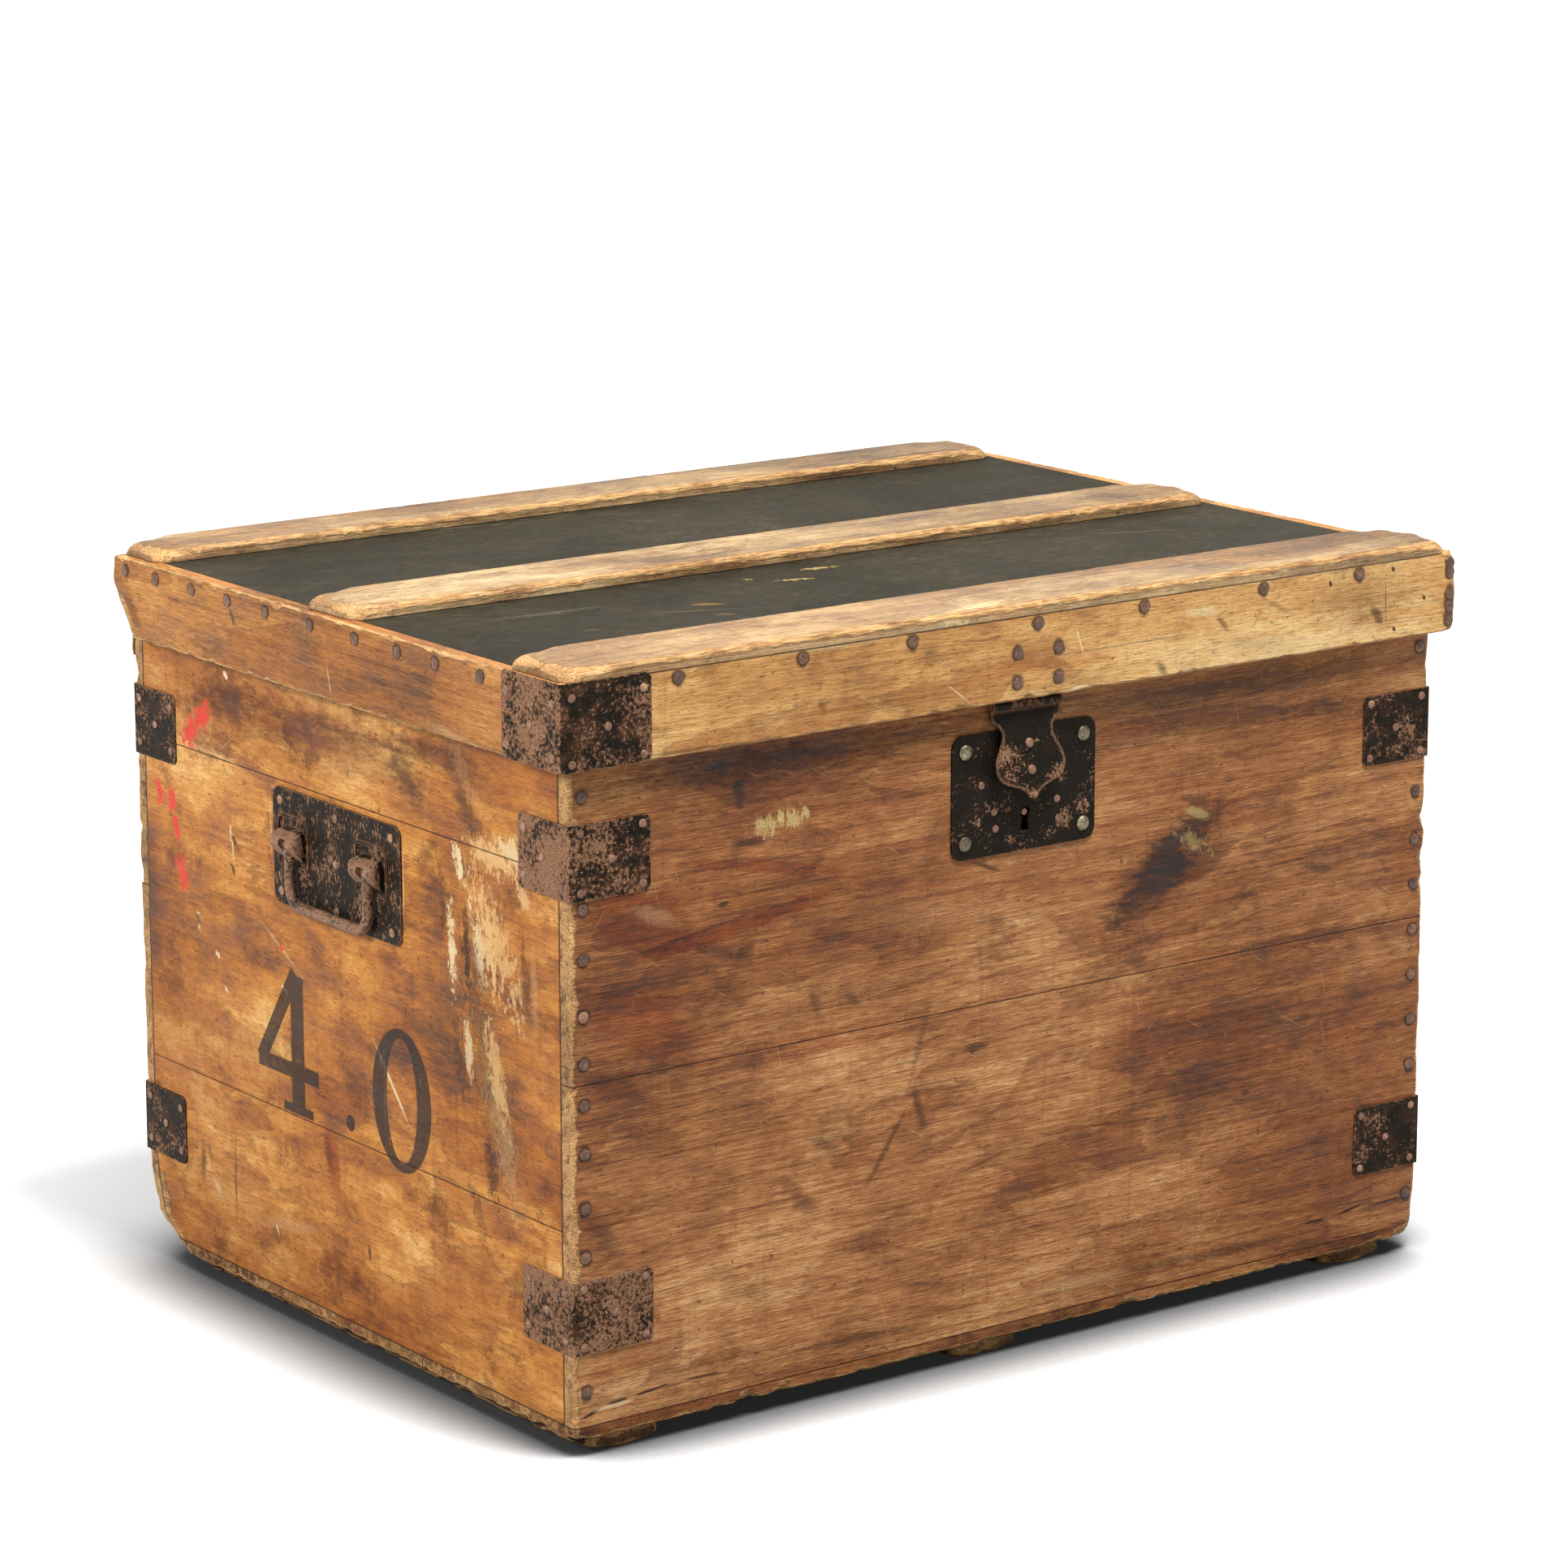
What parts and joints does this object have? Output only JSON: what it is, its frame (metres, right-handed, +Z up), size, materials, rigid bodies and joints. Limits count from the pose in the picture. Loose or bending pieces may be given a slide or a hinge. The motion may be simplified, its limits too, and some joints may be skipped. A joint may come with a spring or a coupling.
{
  "type": "explorer trunk",
  "caption": "Old wooden explorer trunk with a canvas-topped rim lid on battens, iron corner brackets, a hasp lock, drop handles and skids.",
  "frame": {"origin": "on the floor under the centre of the case's footprint, on the underside of the middle skid", "axes": "+X along the front to the right as seen from the front, +Y from the front to the back where the hinges are, +Z up"},
  "size_m": [0.7908, 0.6016, 0.5405],
  "materials": {
    "wood_case": "worn, stained and dry",
    "wood_lid": "worn, bare and dry",
    "wood_battens": "polished by wear on the edges",
    "wood_base": "dirty and rough",
    "canvas": "painted canvas, scuffed",
    "iron_black": "black enamel, chipped and rusty",
    "nail_iron": "rusty",
    "studs_brass": "tarnished",
    "steel_bright": "oiled"
  },
  "bodies": {
    "case": {"back_board_lower": "wood_case", "back_board_upper": "wood_case", "back_rail": "wood_lid", "base_nails": "nail_iron", "board_nails": "nail_iron", "bolt_spring": "steel_bright", "bottom_boards": "wood_base", "bracket_back_left_lower": "iron_black", "bracket_back_left_upper": "iron_black", "bracket_back_right_lower": "iron_black", "bracket_back_right_upper": "iron_black", "bracket_front_left_lower": "iron_black", "bracket_front_left_upper": "iron_black", "bracket_front_right_lower": "iron_black", "bracket_front_right_upper": "iron_black", "case_tacks": "nail_iron", "drill_pin": "steel_bright", "front_board_lower": "wood_case", "front_board_upper": "wood_case", "handle_rivets": "nail_iron", "hinge_case_leaves": "iron_black", "hinge_case_screws": "nail_iron", "hinge_pins": "iron_black", "left_end_board_bottom": "wood_case", "left_end_board_middle": "wood_case", "left_end_board_top": "wood_case", "left_handle_plate": "iron_black", "lock_box": "iron_black", "lock_plate": "iron_black", "lock_plate_rivets": "nail_iron", "lock_plate_studs": "studs_brass", "right_end_board_bottom": "wood_case", "right_end_board_middle": "wood_case", "right_end_board_top": "wood_case", "right_handle_plate": "iron_black", "skid_left": "wood_base", "skid_middle": "wood_base", "skid_right": "wood_base"},
    "lid": {"lid_front_board": "wood_lid", "lid_left_board": "wood_lid", "lid_right_board": "wood_lid", "lid_top_boards": "wood_lid", "lid_canvas": "canvas", "batten_front": "wood_battens", "batten_middle": "wood_battens", "batten_back": "wood_battens", "lid_bracket": "iron_black", "lid_tacks": "nail_iron", "rim_nails": "nail_iron", "batten_nails": "nail_iron", "hasp_leaf": "iron_black", "hasp_nails": "nail_iron", "hinge_lid_leaves": "iron_black", "hinge_lid_screws": "nail_iron"},
    "hasp": {"hasp_shield": "iron_black", "hasp_staple": "iron_black", "hasp_pin": "iron_black"},
    "left_bail": {"left_bail": "iron_black"},
    "right_bail": {"right_bail": "iron_black"},
    "lock_bolt": {"lock_bolt": "steel_bright"}
  },
  "joints": [
    {"name": "lid_hinge", "type": "hinge", "parent": "case", "child": "lid", "pos_m": [0, 0.2903, 0.516], "axis": [-1, 0, 0], "range_deg": [0, 95]},
    {"name": "hasp_hinge", "type": "hinge", "parent": "lid", "child": "hasp", "pos_m": [-0.0027, -0.285, 0.4692], "axis": [-1, 0, 0], "range_deg": [-10, 100]},
    {"name": "lock_bolt_slide", "type": "slide", "parent": "case", "child": "lock_bolt", "axis": [-1, 0, 0], "range_m": [0, 0.007]},
    {"name": "left_bail_hinge", "type": "hinge", "parent": "case", "child": "left_bail", "pos_m": [-0.3872, 0.0058, 0.3575], "axis": [0, 1, 0], "range_deg": [0, 90]},
    {"name": "right_bail_hinge", "type": "hinge", "parent": "case", "child": "right_bail", "pos_m": [0.3872, 0.0032, 0.3575], "axis": [0, -1, 0], "range_deg": [0, 90]}
  ]
}
